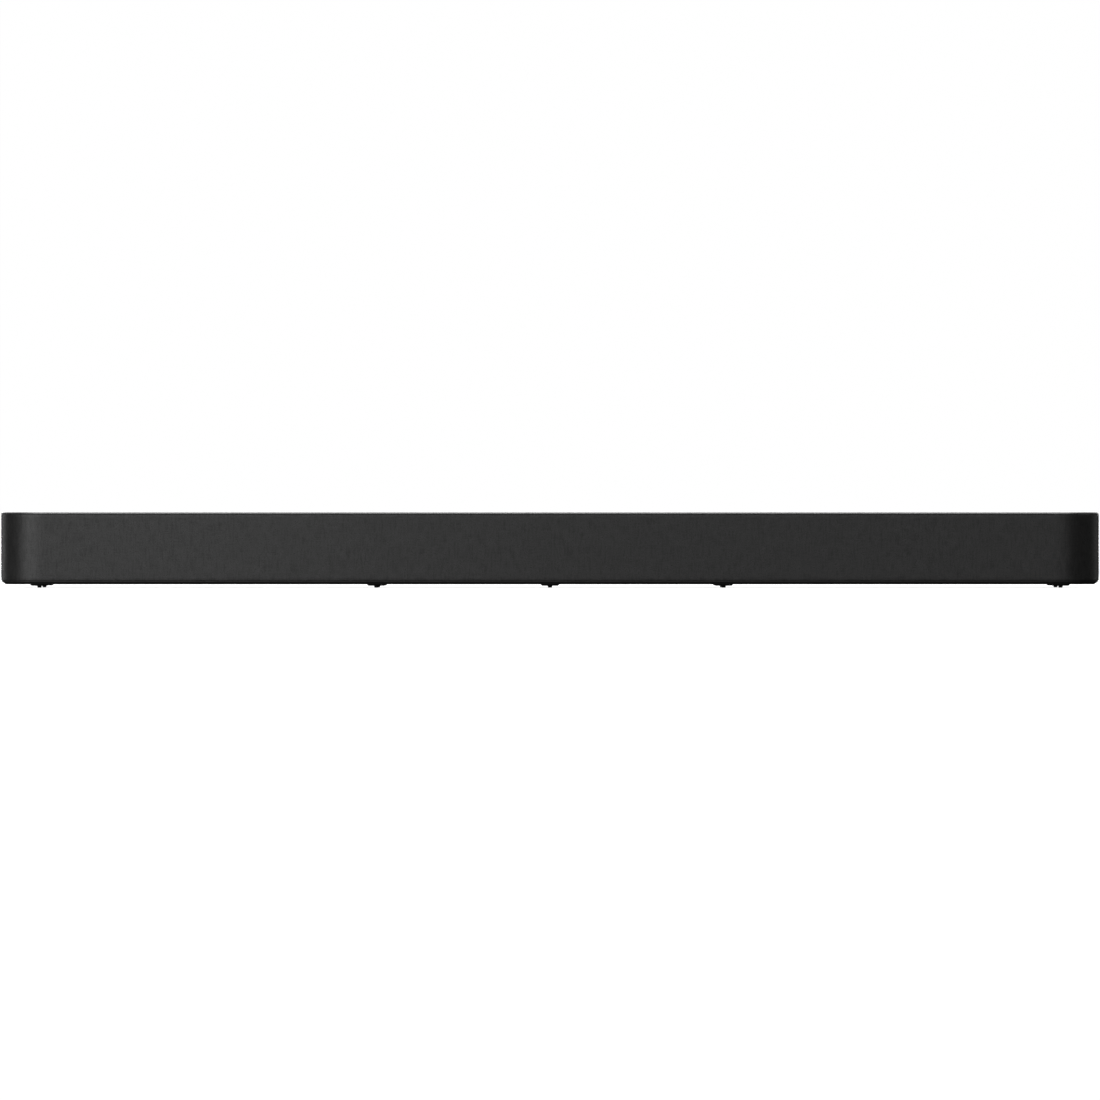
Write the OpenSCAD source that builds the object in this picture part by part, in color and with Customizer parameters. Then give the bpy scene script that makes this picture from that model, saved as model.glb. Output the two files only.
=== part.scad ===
// Soundbar with a cloth front: three front drivers, two upward woofers and the electronics between them.
// Millimetres. +Z is up, the cloth front faces -Y.
// The origin is on the floor under the middle of the bar.

/* [Body] */
// Width of the bar
bar_w = 950; // [940:2:980]
// Depth of the bar, front to back
bar_d = 128; // [128:1:132]
// Height of the bar, feet included
bar_h = 65; // [65:0.5:67]
// Radius of the corners, seen from above
corner_r = 40; // [38:1:42]
// Height of the feet under the case
foot_h = 2.9; // [2.7:0.1:3.3]
// Thickness of the grille cloth
cloth_t = 0.8; // [0.6:0.1:1]

/* [Controls] */
// Radius of a button on the top panel
button_r = 6.5; // [5.5:0.5:7]
// Distance between neighbouring buttons
button_pitch = 26; // [24:1:28]

/* [Wall mounting] */
// Distance between the two threaded inserts in the rear panel
insert_pitch = 600; // [590:2:604]
// Core radius of an insert's M5 thread
insert_core_r = 2.1; // [2:0.05:2.2]

/* [Hidden] */
$fn = 64;

// Levels, from the floor up
under_z = foot_h;             // underside of the tray
floor_z = under_z + 3;        // top of the tray's plate
lid_z = bar_h - 1.6;          // underside of the top panel's edge
ceiling_z = lid_z - 1;        // underside of the top panel inside the case
axis_z = (floor_z + lid_z) / 2;
fit = 0.2;                    // gap between parts that only locate each other

// Places along the depth
front_y = -bar_d / 2;
back_y = bar_d / 2;
seam_y = back_y - corner_r;   // where the cloth ends and the rear panel begins
baffle_t = 3;
baffle_y = front_y + 7;       // front face of the baffle
baffle_back_y = baffle_y + baffle_t;

// Places along the width
corner_x = bar_w / 2 - corner_r;
corner_y = bar_d / 2 - corner_r;
end_x = bar_w / 2 - 33;       // end walls of the speaker chambers
part_x = 172;                 // walls between the chambers and the electronics
driver_x = bar_w / 2 - 90;
woofer_x = 235;
port_x = 330;
foot_x = [-bar_w / 2 + 34, -150, 0, 150, bar_w / 2 - 34];
foot_y = 40;

// Walls
wall_t = 2.5;
frame_t = 2;
case_gap = 3.2;               // from the outline to the top panel's inner plate

// Woofer openings in the top panel
ring_z = 56;                  // underside of the woofer mounting ring
ring_r = 49;
ring_hole_r = 41.5;
grille_w = 170;
grille_d = 84;
grille_r = 20;
grille_t = 0.8;

// Boards
board_t = 1.6;
main_x = [-165, 45];
main_y = [-18, 31];
main_z = 20;
power_x = [58, 154];
power_y = [-48, 31];
power_z = 14;
control_w = 150;
control_y = [-15, 17];
control_z = 54.4;
button_y = 6;
lights_y = -10;

// Sockets at the back
recess_y = back_y - 30;       // floor of both recesses
recess_z = [14, 50];
jack_recess_x = [-120, 30];
mains_recess_x = [85, 145];
hdmi_x = [-104, -78];
optical_x = -48;
usb_x = -20;
inlet_x = 115;
hdmi_size = [15, 5.8, 13];    // width, height and depth of each socket
optical_size = [10, 10, 14];
usb_size = [14, 7, 15];
inlet_size = [22, 15.4, 17];
hdmi_taper = 1.9;
vent_x = [-162, 42];          // first slot of each row of vents

// Ports and wall inserts
port_bore_r = 14;
port_out_r = 20;
port_flange_r = 24;
port_length = 76;
insert_out_r = 3.2;

// Driver sizes: see the index names
FRAME = 0;      // outer radius of the basket
MOUTH = 1;      // inner radius of its flange
ROLL = 2;       // radius of the surround's half roll
SKIN = 3;       // thickness of the surround
CONE = 4;       // depth of the cone
COIL = 5;       // inner radius of the voice coil former
DEPTH = 6;      // depth of the basket behind the flange
NECK = 7;       // inner radius of the basket at its back
PLATE = 8;      // thickness of the steel plates
MAGNET = 9;     // outer radius of the magnet
MAGNET_T = 10;  // thickness of the magnet
LAND = 11;      // width of the surround's rim on the flange
BOLTS = 12;     // number of screws through the flange
BOLT_R = 13;    // radius of the circle they are on
small = [26, 20.8, 1.6, 0.5, 12, 8.25, 16, 14, 3, 19, 8, 1.3, 4, 24.2];
large = [46, 38, 3.6, 0.8, 17, 14, 24, 26, 3.6, 29, 11.6, 3, 6, 43.7];
flange_t = 2;
basket_t = 1.2;
glue = 0.05;
gap_in = 0.35;  // air between the coil former and the pole
gap_out = 0.35; // air between the coil and the top plate

case_screw_x = [end_x + 15, 320, 285, 410, 160, 160];
case_screw_y = [0, -46, 54, 50, -46, 52];
case_spots = [for (s = [-1, 1], i = [0:5]) [s * case_screw_x[i], case_screw_y[i]]];
rear_screw_x = [-380, -200, 200, 380];
peg_x = [-320, -200, -50, 50, 200, 320];
main_post_x = [main_x[0] + 5, main_x[0] + 103, main_x[1] - 5];
main_posts = [for (x = main_post_x, y = [main_y[0] + 4, main_y[1] - 4]) [x, y]];
power_posts = [for (x = [power_x[0] + 5, power_x[1] - 5], y = [power_y[0] + 5, power_y[1] - 5]) [x, y]];
control_posts = [for (x = [-68, 68], y = [control_y[0] + 4, control_y[1] - 4]) [x, y]];
light_x = [-16, -8, 0, 8, 16];
light_r = 1;

// Colours
ink = "#17181a";
cloth_grey = "#3a3a3b";
satin = "#1d1e20";
steel = "#8d9094";
board_green = "#1f5132";
gold = "#b8964a";

// ---- Shared shapes ----

// The bar's outline from above, drawn in by inset on every side
module outline(inset) {
    w = bar_w - 2 * inset;
    d = bar_d - 2 * inset;
    round_rect(w, d, corner_r - inset);
}

module round_rect(w, d, r) {
    square([w - 2 * r, d], center = true);
    square([w, d - 2 * r], center = true);
    for (x = [-1, 1], y = [-1, 1])
        translate([x * (w / 2 - r), y * (d / 2 - r)]) circle(r);
}

// A plate with the bar's outline. The 2D child is its edge, with x measured out from the corner centres.
module edged_plate(z, t) {
    corners = [[1, 1], [-1, 1], [-1, -1], [1, -1]];
    for (i = [0:3])
        translate([corners[i][0] * corner_x, corners[i][1] * corner_y, 0])
            rotate([0, 0, i * 90]) rotate_extrude(angle = 90) children();
    for (s = [0, 180]) rotate([0, 0, s]) {
        translate([corner_x, corner_y, 0]) rotate([90, 0, 0]) linear_extrude(2 * corner_y) children();
        translate([-corner_x, corner_y, 0]) rotate([90, 0, 90]) linear_extrude(2 * corner_x) children();
    }
    translate([-corner_x, -corner_y, z]) cube([2 * corner_x, 2 * corner_y, t]);
}

// A box from one corner to the opposite one
module box(low, high) {
    translate(low) cube(high - low);
}

// A ring or tube
module tube(r_out, r_in, h) {
    difference() {
        cylinder(r = r_out, h = h);
        translate([0, 0, -1]) cylinder(r = r_in, h = h + 2);
    }
}

// Copies its children to every spot, at height z
module each_at(spots, z) {
    for (p = spots) translate([p[0], p[1], z]) children();
}

// Turns its children to stand on an upright wall at [x, y], with +Z towards the back of the bar or the front
module facing_back(x, y, z = axis_z) {
    translate([x, y, z]) rotate([-90, 0, 0]) children();
}

module facing_front(x, y, z = axis_z) {
    translate([x, y, z]) rotate([90, 0, 0]) children();
}

// Copies its children round a driver's circle of screws
module each_bolt(d) {
    for (i = [0:d[BOLTS] - 1]) rotate([0, 0, (i + 0.5) * 360 / d[BOLTS]])
        translate([d[BOLT_R], 0, 0]) children();
}

// A pan-head screw whose head starts at z = 0, with its shank going down
module screw(head_r, head_h, shank_r, length) {
    difference() {
        union() {
            cylinder(r = head_r, h = head_h * 0.5);
            translate([0, 0, head_h * 0.5]) cylinder(r1 = head_r, r2 = head_r * 0.72, h = head_h * 0.5);
            translate([0, 0, -length]) cylinder(r = shank_r, h = length);
        }
        for (a = [0, 90]) rotate([0, 0, a])
            translate([-head_r * 0.5, -0.3, head_h * 0.4]) cube([head_r, 0.6, head_h]);
    }
}

// ---- Case ----

module bottom_tray() {
    color(ink) difference() {
        union() {
            edged_plate(under_z, 3) polygon([
                [0, under_z], [corner_r - 4, under_z], [corner_r - 0.6, floor_z - 0.6],
                [corner_r - 0.6, floor_z], [0, floor_z]]);
            chamber_walls();
            each_at(main_posts, floor_z) cylinder(r = 3, h = main_z - floor_z);
            each_at(power_posts, floor_z) cylinder(r = 3, h = power_z - floor_z);
            for (x = rear_screw_x)
                box([x - 5, back_y - 12, floor_z], [x + 5, back_y - wall_t - fit, axis_z + 6]);
        }
        each_at(case_spots, 0) {
            cylinder(r = 1.7, h = 10);
            cylinder(r = 3.4, h = under_z + 1.6);
        }
        each_at(main_posts, main_z - 8) cylinder(r = 1.2, h = 9);
        each_at(power_posts, power_z - 7) cylinder(r = 1.2, h = 8);
        for (x = foot_x, y = [-foot_y, foot_y]) translate([x, y, 0]) cylinder(r = 2, h = 10);
        for (x = rear_screw_x) facing_front(x, back_y) cylinder(r = 1.3, h = 11);
        for (i = [0:9]) box([78 + i * 8, -30, 0], [81 + i * 8, 14, 10]);
        for (i = [0:7]) box([-150 + i * 8, -8, 0], [-147 + i * 8, 20, 10]);
        box([-70, -24, 0], [20, 24, under_z + 0.3]);
    }
}

// Upright walls that close the speaker chambers, with holes at the floor for the leads
module chamber_walls() {
    low = floor_z - 1;
    top = ceiling_z - fit;
    half = wall_t / 2;
    difference() {
        union() {
            for (s = [-1, 1]) {
                box([s * end_x - half, baffle_back_y, low], [s * end_x + half, back_y - 5, top]);
                box([s * part_x - half, baffle_back_y, low], [s * part_x + half, back_y - wall_t - fit, top]);
                box([s * 36 - 1, baffle_back_y, low], [s * 36 + 1, -20, top]);
            }
            box([-37, -22, low], [37, -20, top]);
        }
        for (s = [-1, 1])
            box([s * part_x - 3, -30, floor_z], [s * part_x + 3, -18, floor_z + 5]);
        box([-26, -25, floor_z], [-18, -15, floor_z + 5]);
    }
}

module top_panel() {
    control_top = control_z + board_t;
    color(satin) difference() {
        union() {
            edged_plate(ceiling_z, bar_h - ceiling_z) lid_edge();
            for (s = [-1, 1])
                translate([s * woofer_x, 0, ring_z]) cylinder(r = ring_r, h = ceiling_z - ring_z);
            each_at(case_spots, floor_z) cylinder(r = 3.5, h = ceiling_z - floor_z);
            each_at(control_posts, control_top) cylinder(r = 3, h = ceiling_z - control_top);
        }
        for (s = [-1, 1]) translate([s * woofer_x, 0, 0]) {
            translate([0, 0, bar_h - grille_t]) linear_extrude(2) round_rect(grille_w, grille_d, grille_r);
            translate([0, 0, ring_z - 1]) {
                cylinder(r = ring_hole_r, h = 20);
                each_bolt(large) cylinder(r = 1.1, h = 6);
            }
        }
        each_at(case_spots, floor_z - 1) cylinder(r = 1.4, h = 13);
        each_at(control_posts, control_z) cylinder(r = 1.1, h = 7);
        each_at([for (i = [-2:2]) [i * button_pitch, button_y]], ceiling_z - 1)
            cylinder(r = button_r + 0.3, h = 10);
        each_at([for (x = light_x) [x, lights_y]], ceiling_z - 1) cylinder(r = light_r, h = 10);
    }
}

// The top panel's edge: a thin chamfered lip over the grille, and a thicker plate inside it
module lid_edge() {
    chamfer = 0.95;
    polygon([
        [0, ceiling_z], [corner_r - case_gap, ceiling_z], [corner_r - case_gap, lid_z], [corner_r, lid_z],
        [corner_r, bar_h - chamfer - 0.1], [corner_r - 0.1, bar_h - chamfer],
        [corner_r - chamfer, bar_h - 0.1], [corner_r - chamfer - 0.2, bar_h], [0, bar_h]]);
}

module rear_panel() {
    color(ink) difference() {
        union() {
            translate([0, 0, floor_z + fit]) linear_extrude(lid_z - floor_z - 2 * fit) intersection() {
                difference() {
                    outline(0);
                    outline(wall_t);
                }
                translate([-bar_w / 2, seam_y + 0.3]) square([bar_w, corner_r]);
            }
            recess_shell(jack_recess_x);
            recess_shell(mains_recess_x);
            for (s = [-1, 1]) facing_front(s * insert_pitch / 2, back_y - 1) cylinder(r = 5.5, h = 11);
        }
        recess_space(jack_recess_x);
        recess_space(mains_recess_x);
        for (s = [-1, 1]) {
            facing_front(s * port_x, back_y + 1) {
                cylinder(r = port_out_r + 0.3, h = 8);
                cylinder(r = port_flange_r + 0.3, h = 2.2);
            }
            facing_front(s * insert_pitch / 2, back_y + 1) cylinder(r = insert_out_r, h = 11);
        }
        for (x = rear_screw_x) facing_front(x, back_y + 1) {
            cylinder(r = 1.7, h = 8);
            cylinder(r = 3.3, h = 2.4);
        }
        for (x = hdmi_x) socket_opening(x, main_z, hdmi_size, hdmi_taper);
        socket_opening(optical_x, main_z, optical_size, 0);
        socket_opening(usb_x, main_z, usb_size, 0);
        socket_opening(inlet_x, power_z, inlet_size, 0);
        for (x = vent_x, i = [0:5], z = [20, 38])
            box([x + i * 6 - 1.2, back_y - 5, z], [x + i * 6 + 1.2, back_y + 1, z + 12]);
    }
}

// Clearance in a recess's floor round a socket on the board at this height
module socket_opening(x, z, size, taper) {
    facing_front(x, recess_y + 1, z + board_t - fit) linear_extrude(6)
        socket_outline(size[0] + 2 * fit, size[1] + 2 * fit, taper);
}

// A socket's outline from behind, its lower corners cut off by taper
module socket_outline(w, h, taper) {
    polygon([
        [taper - w / 2, 0], [w / 2 - taper, 0], [w / 2, taper],
        [w / 2, h], [-w / 2, h], [-w / 2, taper]]);
}

module recess_shell(span) {
    box([span[0] - 2, recess_y - 2, recess_z[0] - 2], [span[1] + 2, back_y - 1, recess_z[1] + 2]);
}

module recess_space(span) {
    box([span[0], recess_y, recess_z[0]], [span[1], back_y + 1, recess_z[1]]);
}

module front_baffle() {
    color("#2a2723") difference() {
        box([-end_x - wall_t / 2, baffle_y, floor_z], [end_x + wall_t / 2, baffle_back_y, ceiling_z]);
        for (x = [-driver_x, 0, driver_x]) facing_back(x, baffle_y - 1) {
            cylinder(r = small[MOUTH] + basket_t + 0.3, h = 6);
            each_bolt(small) cylinder(r = 1.1, h = 6);
        }
        for (x = peg_x) facing_back(x, baffle_y - 1) cylinder(r = 2.7, h = 6);
    }
}

// ---- Grille ----

// A wall along the front and both sides, between two insets from the outline
module front_wall(inset_out, inset_in, low, high) {
    translate([0, 0, low]) linear_extrude(high - low) difference() {
        outline(inset_out);
        outline(inset_in);
        translate([-bar_w, seam_y]) square([2 * bar_w, bar_d]);
    }
}

module grille_frame() {
    inner_y = front_y + cloth_t + frame_t;
    color("#222325") union() {
        difference() {
            front_wall(cloth_t, cloth_t + frame_t, floor_z, lid_z);
            for (x = [-driver_x, 0, driver_x], i = [-4:4])
                box([x + i * 5.6 - 1.9, front_y - 1, axis_z - slot_reach(i * 5.6)],
                    [x + i * 5.6 + 1.9, inner_y + 1, axis_z + slot_reach(i * 5.6)]);
            box([74, front_y - 1, axis_z - 9], [140, inner_y + 1, axis_z + 9]);
        }
        for (x = peg_x) facing_back(x, inner_y - 0.5) cylinder(r = 2.5, h = baffle_back_y - inner_y);
    }
}

// Half the height of a sound slot at this distance from the driver's axis
function slot_reach(x) = sqrt(25 * 25 - x * x);

module grille_fabric() {
    color(cloth_grey) front_wall(0, cloth_t, floor_z + fit, lid_z - fit);
}

// Slot-perforated steel cover over a woofer, on rows that step by half a slot
module woofer_grille(side) {
    pitch_x = 10;
    pitch_y = 3.4;
    slot = [7.4, 1.7];
    margin = 5;
    w = grille_w - 0.6;
    d = grille_d - 0.6;
    r = grille_r - 0.3;
    rows = floor((d / 2 - margin) / pitch_y);
    color("#141517") translate([side * woofer_x, 0, bar_h - grille_t])
    linear_extrude(grille_t) difference() {
        round_rect(w, d, r);
        for (row = [-rows:rows]) {
            y = row * pitch_y;
            past = max(0, abs(y) - (d / 2 - r));
            reach = w / 2 - r + sqrt(max(0, pow(r - margin, 2) - past * past));
            shift = row % 2 == 0 ? 0 : pitch_x / 2;
            count = floor((reach - slot[0] / 2 - shift) / pitch_x);
            if (past < r - margin)
                for (i = [(shift == 0 ? -count : -count - 1):count])
                    translate([i * pitch_x + shift, y]) square(slot, center = true);
        }
    }
}

// ---- Feet ----

// A rubber disc with a nub in the middle of its underside and a stem through the tray
module feet(y) {
    color("#101011") for (x = foot_x) translate([x, y, 0]) {
        cylinder(r1 = 1.5, r2 = 2.3, h = 2);
        translate([0, 0, under_z - 1.3]) cylinder(r1 = 6.9, r2 = 7.8, h = 0.8);
        translate([0, 0, under_z - 0.5]) cylinder(r = 7.8, h = 0.5);
        translate([0, 0, under_z - 1.3]) cylinder(r = 2, h = 4.3);
    }
}

// ---- Controls ----

module button(i) {
    top = bar_h - 0.1;
    color("#26282b") translate([i * button_pitch, button_y, 0]) difference() {
        union() {
            translate([0, 0, ceiling_z - 1.6]) cylinder(r = button_r + 1.2, h = 1.2);
            translate([0, 0, ceiling_z - 1]) cylinder(r = button_r, h = top - ceiling_z + 0.6);
            translate([0, 0, top - 0.4]) cylinder(r1 = button_r, r2 = button_r - 0.4, h = 0.4);
            translate([0, 0, control_z + board_t + 1.2]) cylinder(r = 1.6, h = 5);
        }
        translate([0, 0, top + 30 - 0.35]) sphere(r = 30);
    }
}

module control_board() {
    color(board_green) difference() {
        box([-control_w / 2, control_y[0], control_z],
            [control_w / 2, control_y[1], control_z + board_t]);
        each_at(control_posts, control_z - 1) cylinder(r = 1.3, h = 5);
    }
}

module tact_switches() {
    color("#2b2b2e") for (i = [-2:2])
        translate([i * button_pitch, button_y, control_z + board_t]) difference() {
            translate([-3.1, -3.1, 0]) cube([6.2, 6.2, 3.5]);
            translate([0, 0, 0.6]) cylinder(r = 2, h = 5);
        }
}

module status_lights() {
    color("#e8eef2") for (x = light_x) translate([x, lights_y, control_z + board_t]) {
        translate([-1.7, -1.4, 0]) cube([3.4, 2.8, 1.4]);
        cylinder(r = light_r, h = bar_h - control_z - board_t - 0.1);
    }
}

module display_board() {
    color(board_green) box([72, baffle_y - 1.2, axis_z - 12], [140, baffle_y, axis_z + 12]);
}

module led_matrix() {
    y = baffle_y - 1.2;
    color("#0d0e10") for (i = [0:3]) {
        x = 76 + i * 13;
        difference() {
            box([x, y - 2, axis_z - 7], [x + 12.6, y, axis_z + 7]);
            for (c = [0:4], r = [0:5])
                translate([x + 1.9 + c * 2.2, y - 3, axis_z - 5.5 + r * 2.2]) cube([1, 1.6, 1]);
        }
    }
}

module ir_receiver() {
    color("#3b1518") translate([134.5, baffle_y - 1.2, axis_z]) {
        box([-3, -1.6, -4], [3, 0, 4]);
        translate([0, -1.6, 0]) intersection() {
            sphere(r = 2.2);
            box([-3, -1.8, -3], [3, 0, 3]);
        }
    }
}

// ---- Drivers, with +Z out of the mouth and z = 0 at the back of the flange ----

function roll_centre(d) = d[MOUTH] + 0.8 - d[ROLL];
function rim_r(d) = roll_centre(d) - d[ROLL] + d[SKIN];
function plate_z(d) = -d[DEPTH] - basket_t;

function is_woofer(name) = name == "left_woofer" || name == "right_woofer";
// -1 for a driver on the left of the bar, 0 in the middle and 1 on the right
function side_of(name) =
    name == "centre_driver" ? 0 : name == "left_driver" || name == "left_woofer" ? -1 : 1;

module at_place(name) {
    if (is_woofer(name)) translate([side_of(name) * woofer_x, 0, ring_z - flange_t]) children();
    else facing_front(side_of(name) * driver_x, baffle_y) children();
}

module basket(d) {
    spoke_z = flange_t + 2.6;
    color("#1b1c1f") difference() {
        union() {
            rotate_extrude() polygon([
                [d[MOUTH], flange_t], [d[FRAME], flange_t], [d[FRAME], 0], [d[MOUTH] + basket_t, 0],
                [d[NECK] + basket_t, plate_z(d)], [d[COIL] + 1.5, plate_z(d)],
                [d[COIL] + 1.5, -d[DEPTH]], [d[NECK], -d[DEPTH]], [d[MOUTH], 0]]);
            box([-3, -d[NECK] - 5, plate_z(d)], [3, -d[NECK] + 1, -d[DEPTH]]);
            if (d == large) translate([0, 0, spider_z - 1]) tube(spider_r(d) + 0.6, spider_r(d) - 2, 1);
        }
        for (a = [30:60:330]) rotate([0, 0, a])
            translate([d[NECK] * 0.9, -d[NECK] * 0.3, spoke_z - d[DEPTH]])
                cube([d[FRAME], d[NECK] * 0.6, d[DEPTH] - spoke_z - 3]);
        translate([0, 0, -1]) each_bolt(d) cylinder(r = 1.4, h = 5);
    }
}

spider_z = -19.4;
// Inner radius of the basket's wall where the spider sits
function spider_r(d) = d[NECK] + (d[MOUTH] - d[NECK]) * (d[DEPTH] - 20) / d[DEPTH];

module motor(d) {
    top = plate_z(d);
    magnet_top = top - d[PLATE] - glue;
    yoke_top = magnet_top - d[MAGNET_T] - glue;
    color(steel) {
        translate([0, 0, top - d[PLATE]]) tube(d[MAGNET] - 3, d[COIL] + 0.45 + gap_out, d[PLATE]);
        translate([0, 0, yoke_top - d[PLATE]]) cylinder(r = d[MAGNET] - 3, h = d[PLATE]);
        translate([0, 0, yoke_top]) cylinder(r = d[COIL] - gap_in, h = top - yoke_top - 0.2);
    }
    color("#26262a") translate([0, 0, yoke_top + glue]) tube(d[MAGNET], d[COIL] + 2.4, d[MAGNET_T]);
}

module cone(d) {
    rim = rim_r(d);
    neck = d[COIL] + 0.25;
    coil_mid = plate_z(d) - d[PLATE] / 2;
    former_z = coil_mid - d[PLATE] - 1.5;
    cap_r = neck + 2.4;
    cap_z = -d[CONE] + 2.4 * (d[CONE] + 0.5) / (rim - 1.6 - neck) - 0.4;
    color("#2d2e31") {
        rotate_extrude() polygon([
            [neck, -d[CONE] - 0.8], [rim - 1.2, 0], [rim, 0],
            [rim, 0.5], [rim - 1.6, 0.5], [neck, -d[CONE]]]);
        translate([0, 0, former_z]) tube(neck, d[COIL], -d[CONE] - former_z);
        translate([0, 0, coil_mid - d[PLATE] - 1]) tube(neck + 0.2, d[COIL] + 0.1, 2 * d[PLATE] + 2);
        rotate_extrude() translate([0, cap_z - 0.98 * cap_r]) intersection() {
            difference() {
                circle(r = 1.4 * cap_r);
                circle(r = 1.4 * cap_r - 0.5);
            }
            translate([0, 0.95 * cap_r]) square([cap_r, cap_r]);
        }
    }
}

module surround(d) {
    rc = roll_centre(d);
    inner = rc - d[ROLL];
    color("#18191b") rotate_extrude() {
        translate([rc, flange_t]) intersection() {
            difference() {
                circle(d[ROLL]);
                circle(d[ROLL] - d[SKIN]);
            }
            translate([-d[ROLL], 0]) square([2 * d[ROLL], d[ROLL]]);
        }
        translate([rc + d[ROLL] - d[SKIN], flange_t]) square([d[LAND], d[SKIN]]);
        translate([inner, 0.5]) square([d[SKIN], flange_t - 0.5]);
        translate([inner - 1, 0.5]) square([1 + d[SKIN], d[SKIN]]);
    }
}

// Corrugated cloth disc that centres the voice coil
module spider(d) {
    low = spider_z;
    r_in = d[COIL] + 0.3;
    r_out = spider_r(d) - 0.4;
    flat = 1.4;
    steps = 36;
    wave = [for (i = [0:steps]) let (r = r_in + flat + (r_out - r_in - 2 * flat) * i / steps)
        [r, low + 0.7 - 0.7 * cos(360 * 4 * i / steps)]];
    top = [for (i = [steps:-1:0]) [wave[i][0], wave[i][1] + 0.5]];
    color(gold) rotate_extrude() polygon(concat(
        [[r_in, low]], wave, [[r_out, low], [r_out, low + 0.5]], top, [[r_in, low + 0.5]]));
}

module driver_piece(name, piece) {
    d = is_woofer(name) ? large : small;
    at_place(name) {
        if (piece == "basket") basket(d);
        if (piece == "motor") motor(d);
        if (piece == "cone") cone(d);
        if (piece == "surround") surround(d);
        if (piece == "spider") spider(d);
    }
}

// Reflex port: a tube with a flared mouth in the rear panel
module port_tube(side) {
    flare = 5.5;
    tube_r = port_bore_r + 2;
    color("#151618") facing_front(side * port_x, back_y) rotate_extrude() difference() {
        polygon([
            [0, 0], [port_flange_r, 0], [port_flange_r, 1.2], [port_out_r, 1.2], [port_out_r, 4],
            [tube_r, 10], [tube_r, port_length], [0, port_length]]);
        translate([0, -1]) square([port_bore_r, port_length + 2]);
        difference() {
            translate([0, -1]) square([port_bore_r + flare, flare + 1]);
            translate([port_bore_r + flare, flare]) circle(flare);
        }
    }
}

// ---- Electronics ----

module plain_board(span_x, span_y, z, posts) {
    color(board_green) difference() {
        box([span_x[0], span_y[0], z], [span_x[1], span_y[1], z + board_t]);
        each_at(posts, z - 1) cylinder(r = 1.5, h = 4);
    }
}

// Parts standing on a board: blocks are [x, y, width, depth, height] and cans are [x, y, radius, height]
module standing(blocks, cans, z) {
    for (b = blocks) translate([b[0] - b[2] / 2, b[1] - b[3] / 2, z]) cube([b[2], b[3], b[4]]);
    for (c = cans) translate([c[0], c[1], z]) cylinder(r = c[2], h = c[3]);
}

module main_board_chips() {
    blocks = concat(
        [[-95, 2, 26, 26, 2], [-55, 0, 14, 14, 1.4], [-32, -4, 12, 10, 1.2], [4, 4, 24, 18, 2.6]],
        [[30, -6, 12, 8, 2], [21, 24, 16, 4, 4.4]],
        [for (i = [0:4]) [-150 + i * 9, -11, 7, 6, 7]],
        [for (i = [0:3]) [-140 + i * 9, 14, 7, 7, 5]]);
    cans = concat([for (i = [0:3]) [-140 + i * 9, 3, 3.2, 10]], [for (i = [0:2]) [-36 + i * 8, 8, 2.4, 7]]);
    color("#202226") standing(blocks, cans, main_z + board_t);
}

module heat_sink() {
    z = main_z + board_t + 2;
    color("#a5a8ab") union() {
        box([-109, -13, z], [-79, 17, z + 3]);
        for (i = [0:7]) box([-109 + i * 4.1, -13, z + 2], [-107.8 + i * 4.1, 17, z + 16]);
    }
}

module power_components() {
    z = power_z + board_t;
    blocks = [
        [96, -10, 32, 28, 26], [138, -28, 18, 14, 16], [144, 2, 14, 18, 20],
        [84, 22, 12, 8, 11], [136, 22, 6, 8, 9]];
    cans = [[78, -34, 9, 30], [100, -36, 9, 30], [121, -36, 6, 20], [124, 4, 5, 16], [146, -14, 4, 12]];
    color("#c9a227") standing(blocks, [], z);
    color("#23252a") standing([], cans, z);
}

// The plain block of a socket that stands on the board at height z and opens to the back
module socket_block(x, z, size) {
    translate([x - size[0] / 2, recess_y - size[2], z + board_t]) cube([size[0], size[2], size[1]]);
}

// Mains inlet with a figure-of-eight cavity and two pins
module ac_inlet() {
    mid = power_z + board_t + 7.8;
    color("#1a1b1d") difference() {
        socket_block(inlet_x, power_z, inlet_size);
        for (s = [-1, 1]) facing_front(inlet_x + s * 4.2, recess_y + 1, mid) cylinder(r = 4.4, h = 13);
        box([inlet_x - 4.2, recess_y - 12, mid - 3.2], [inlet_x + 4.2, recess_y + 1, mid + 3.2]);
    }
    color(steel) for (s = [-1, 1])
        facing_front(inlet_x + s * 4.3, recess_y - 3, mid) cylinder(r = 1.2, h = 9.2);
}

// A metal socket shell that opens to the back, with a tongue inside it at tongue_z above the board
module shell_socket(x, size, taper, tongue_z) {
    z = main_z + board_t;
    skin = 0.5;
    color(steel) difference() {
        facing_front(x, recess_y, z) linear_extrude(size[2]) socket_outline(size[0], size[1], taper);
        facing_front(x, recess_y + 1, z + skin) linear_extrude(size[2] - 1)
            socket_outline(size[0] - 2 * skin, size[1] - 2 * skin, taper);
    }
    color("#f0f0ee") box([x - size[0] / 2 + 2, recess_y - size[2] + 1.9, z + tongue_z - 0.6],
        [x + size[0] / 2 - 2, recess_y - 2, z + tongue_z + 0.6]);
}

module hdmi_sockets() {
    for (x = hdmi_x) shell_socket(x, hdmi_size, hdmi_taper, 3.1);
}

module usb_socket() {
    shell_socket(usb_x, usb_size, 0, 4.3);
}

module optical_socket() {
    z = main_z + board_t;
    color("#1b1c1f") difference() {
        socket_block(optical_x, main_z, optical_size);
        box([optical_x - 3, recess_y - 9, z + 2], [optical_x + 3, recess_y + 1, z + 8]);
        facing_front(optical_x, recess_y - 8, z + 5) cylinder(r = 1.3, h = 4);
    }
}

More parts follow.
